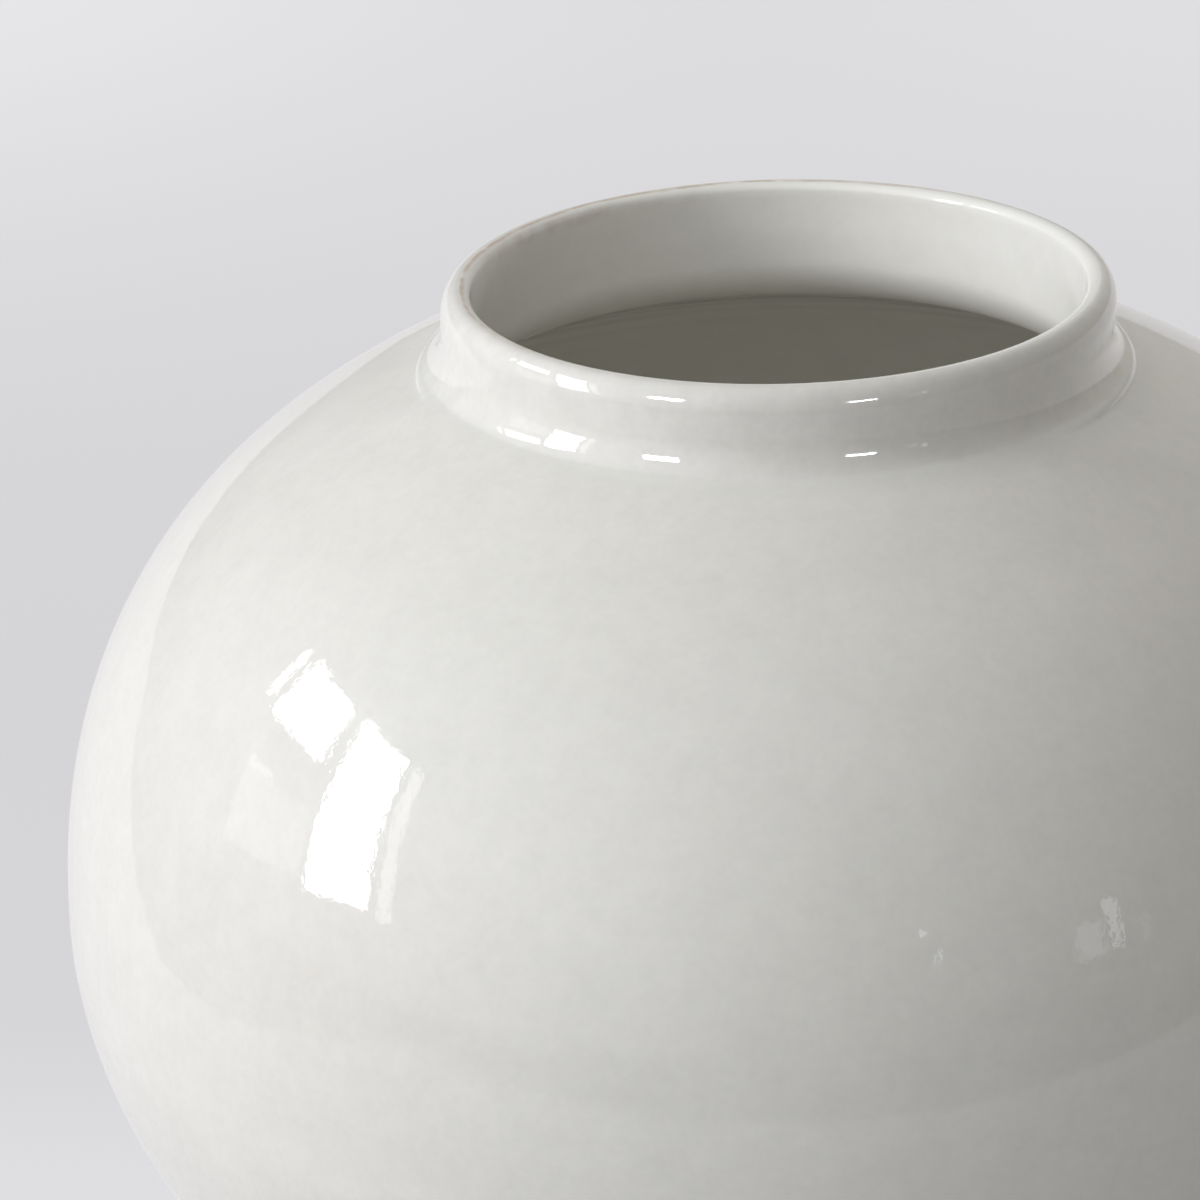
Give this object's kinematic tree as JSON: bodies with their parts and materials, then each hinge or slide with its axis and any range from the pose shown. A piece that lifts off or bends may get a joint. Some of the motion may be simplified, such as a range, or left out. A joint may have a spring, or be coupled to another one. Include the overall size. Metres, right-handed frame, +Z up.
{
  "type": "moon jar",
  "caption": "Large round white porcelain jar made of joined thrown bowls, with a low flared collar, a rounded lip and a foot ring.",
  "frame": {"origin": "centre of the foot ring's resting face", "axes": "+Z up along the jar's axis of turning, from the foot to the mouth"},
  "size_m": [0.4439, 0.444, 0.3776],
  "materials": {
    "porcelain_body": "bare fired porcelain, matt and faintly warm",
    "porcelain_slip": "bare fired porcelain slip, matt",
    "outer_glaze": "glossy milk white glaze, faintly mottled",
    "inner_glaze": "glossy milk white glaze, thinner and greyer than outside"
  },
  "bodies": {
    "root": {"lower_bowl": "porcelain_body", "upper_bowl": "porcelain_body", "neck_collar": "porcelain_body", "waist_slip": "porcelain_slip", "collar_slip": "porcelain_slip", "outer_glaze": "outer_glaze", "inner_glaze": "inner_glaze", "foot_well_glaze": "inner_glaze"}
  },
  "joints": []
}
